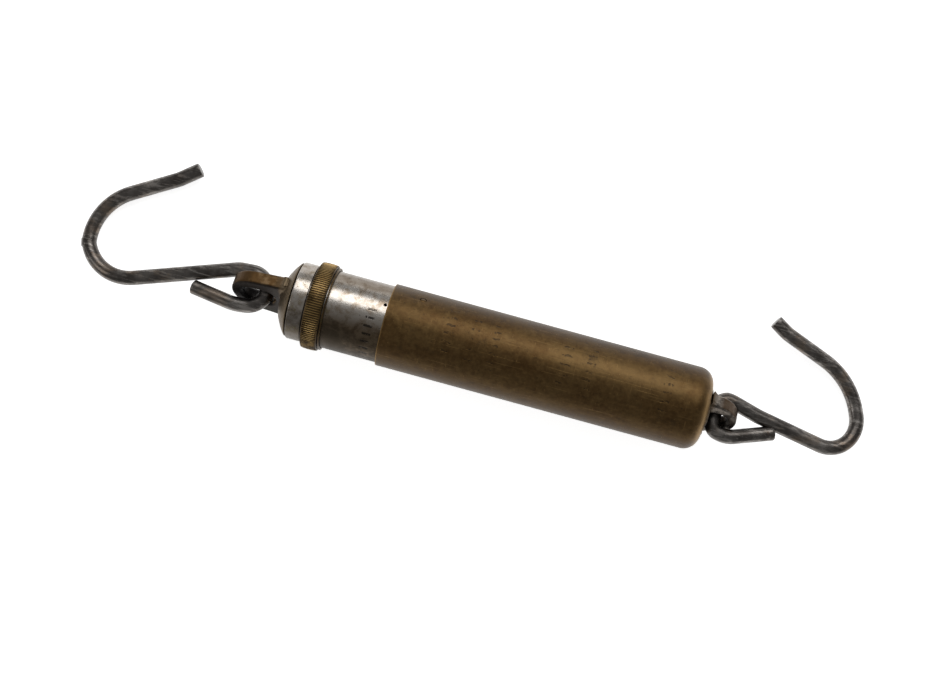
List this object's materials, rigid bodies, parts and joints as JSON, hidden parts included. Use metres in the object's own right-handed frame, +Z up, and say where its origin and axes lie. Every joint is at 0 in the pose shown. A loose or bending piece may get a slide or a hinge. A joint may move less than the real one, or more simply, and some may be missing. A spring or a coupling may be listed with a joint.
{
  "type": "hanging spring scale",
  "caption": "Tubular hanging spring balance with a graduated inner tube, sliding outer tube, zero ring and open wire hooks on eyes.",
  "frame": {"origin": "middle of the base of the bounding box, with the scale lying on its side", "axes": "+X along the tubes from the top hook to the load hook, +Z up from the table it lies on"},
  "size_m": [0.2484, 0.048, 0.027],
  "materials": {
    "aged_brass": "satin, browned with age",
    "ring_brass": "knurled, worn bright on the crest",
    "nickel": "nickel plate, stained",
    "bronze": "dull, browned with age",
    "dark_steel": "dull forged steel",
    "hook_wire": "drawn wire, rubbed bright in places",
    "spring_steel": "oiled spring wire",
    "plain_steel": "turned, plain"
  },
  "bodies": {
    "handle": {"inner_tube": "nickel", "top_cap": "nickel", "cap_pin_1": "nickel", "cap_pin_2": "nickel", "top_eye": "bronze", "top_eye_washer": "plain_steel", "top_eye_nut": "plain_steel", "ring_stop_collar": "ring_brass"},
    "ring": {"zero_ring": "ring_brass"},
    "spring_anchor": {"upper_spring_plug": "plain_steel", "drive_key": "plain_steel", "key_screw": "plain_steel", "main_spring": "spring_steel"},
    "case": {"outer_tube": "aged_brass", "guide_pin": "aged_brass", "bottom_eye": "dark_steel", "end_washer": "plain_steel", "lower_spring_plug": "plain_steel", "plug_washer": "plain_steel", "bottom_eye_nut": "plain_steel"},
    "hanger": {"top_hook": "hook_wire"},
    "load": {"load_hook": "hook_wire"}
  },
  "joints": [
    {"name": "zero_turn", "type": "hinge", "parent": "handle", "child": "ring", "pos_m": [-0.04604, -0.01053, 0.01353], "axis": [1, 0, 0], "range_deg": [-360, 360]},
    {"name": "zero_shift", "type": "slide", "parent": "handle", "child": "spring_anchor", "axis": [1, 0, 0], "range_m": [-0.00075, 0.00075]},
    {"name": "weigh_slide", "type": "slide", "parent": "spring_anchor", "child": "case", "axis": [1, 0, 0], "range_m": [0, 0.054], "stiffness_N_per_m": 4100, "deforming": ["main_spring"]},
    {"name": "top_hook_swing", "type": "hinge", "parent": "handle", "child": "hanger", "pos_m": [-0.063, -0.01053, 0.01353], "axis": [0, 0.8829, -0.4695], "range_deg": [-80, 100]},
    {"name": "load_hook_swing", "type": "hinge", "parent": "case", "child": "load", "pos_m": [0.07736, -0.01053, 0.01353], "axis": [0, 0.8387, -0.5446], "range_deg": [-44, 26]}
  ],
  "couplings": [
    {"joint": "zero_turn", "follows": "zero_shift", "rad_per_m": 8377.5}
  ]
}
